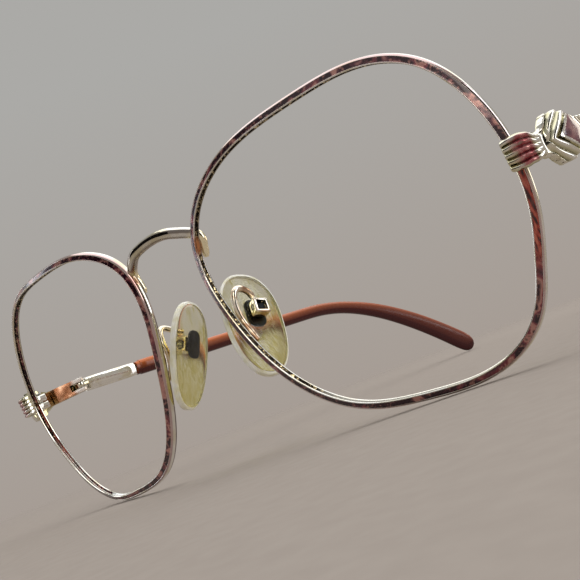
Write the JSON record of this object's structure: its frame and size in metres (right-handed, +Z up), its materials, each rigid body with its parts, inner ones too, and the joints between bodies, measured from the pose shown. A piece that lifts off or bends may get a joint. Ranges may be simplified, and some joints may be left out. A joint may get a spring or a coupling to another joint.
{
  "type": "eyeglass frame",
  "caption": "Metal full-rim eyeglass frame with an arched bridge, clear nose pads on gooseneck arms, ribbed end pieces with a fluted lozenge, and folding temples in brown plastic sleeves.",
  "frame": {"origin": "middle of the frame's footprint, on the surface that it stands on", "axes": "+X to the wearer's left, +Y backwards along the temples, +Z up"},
  "size_m": [0.1292, 0.1572, 0.0475],
  "materials": {
    "enamelled_rim": "tortoise enamel on nickel silver",
    "nickel_silver": "polished",
    "ornament_enamel": "mauve-brown enamel",
    "solder_metal": "copper-toned where the plating has worn",
    "screw_steel": "turned",
    "temple_plastic": "polished brown acetate",
    "clear_pad": "clear, yellowed with age",
    "pad_insert_metal": "darkened"
  },
  "bodies": {
    "front": {"bridge": "nickel_silver", "rim_left": "enamelled_rim", "rim_right": "enamelled_rim", "end_piece_left": "nickel_silver", "end_piece_right": "nickel_silver", "lozenge_left": "ornament_enamel", "lozenge_right": "ornament_enamel", "closing_block_upper_left": "nickel_silver", "closing_block_upper_right": "nickel_silver", "closing_block_lower_left": "nickel_silver", "closing_block_lower_right": "nickel_silver", "rim_screw_left": "screw_steel", "rim_screw_right": "screw_steel", "hinge_front_left": "solder_metal", "hinge_front_right": "solder_metal", "hinge_screw_left": "screw_steel", "hinge_screw_right": "screw_steel", "pad_arm_left": "solder_metal", "pad_arm_right": "solder_metal", "pad_box_left": "solder_metal", "pad_box_right": "solder_metal", "pad_pin_left": "screw_steel", "pad_pin_right": "screw_steel"},
    "temple_left": {"hinge_temple_left": "nickel_silver", "temple_left": "nickel_silver", "temple_sleeve_left": "temple_plastic"},
    "temple_right": {"hinge_temple_right": "nickel_silver", "temple_right": "nickel_silver", "temple_sleeve_right": "temple_plastic"},
    "pad_left": {"pad_insert_left": "pad_insert_metal", "nose_pad_left": "clear_pad"},
    "pad_right": {"pad_insert_right": "pad_insert_metal", "nose_pad_right": "clear_pad"}
  },
  "joints": [
    {"name": "temple_left_fold", "type": "hinge", "parent": "front", "child": "temple_left", "pos_m": [0.06133, -0.05471, 0.02765], "axis": [0, -0.1433, 0.9897], "range_deg": [0, 79]},
    {"name": "temple_right_fold", "type": "hinge", "parent": "front", "child": "temple_right", "pos_m": [-0.06133, -0.05471, 0.02765], "axis": [0, 0.1433, -0.9897], "range_deg": [0, 73]},
    {"name": "pad_left_rock", "type": "hinge", "parent": "front", "child": "pad_left", "pos_m": [0.01001, -0.06891, 0.02305], "axis": [-0.2889, -0.9267, 0.2403], "range_deg": [-8, 8]},
    {"name": "pad_right_rock", "type": "hinge", "parent": "front", "child": "pad_right", "pos_m": [-0.01001, -0.06891, 0.02305], "axis": [-0.2889, 0.9267, -0.2403], "range_deg": [-8, 8]}
  ]
}
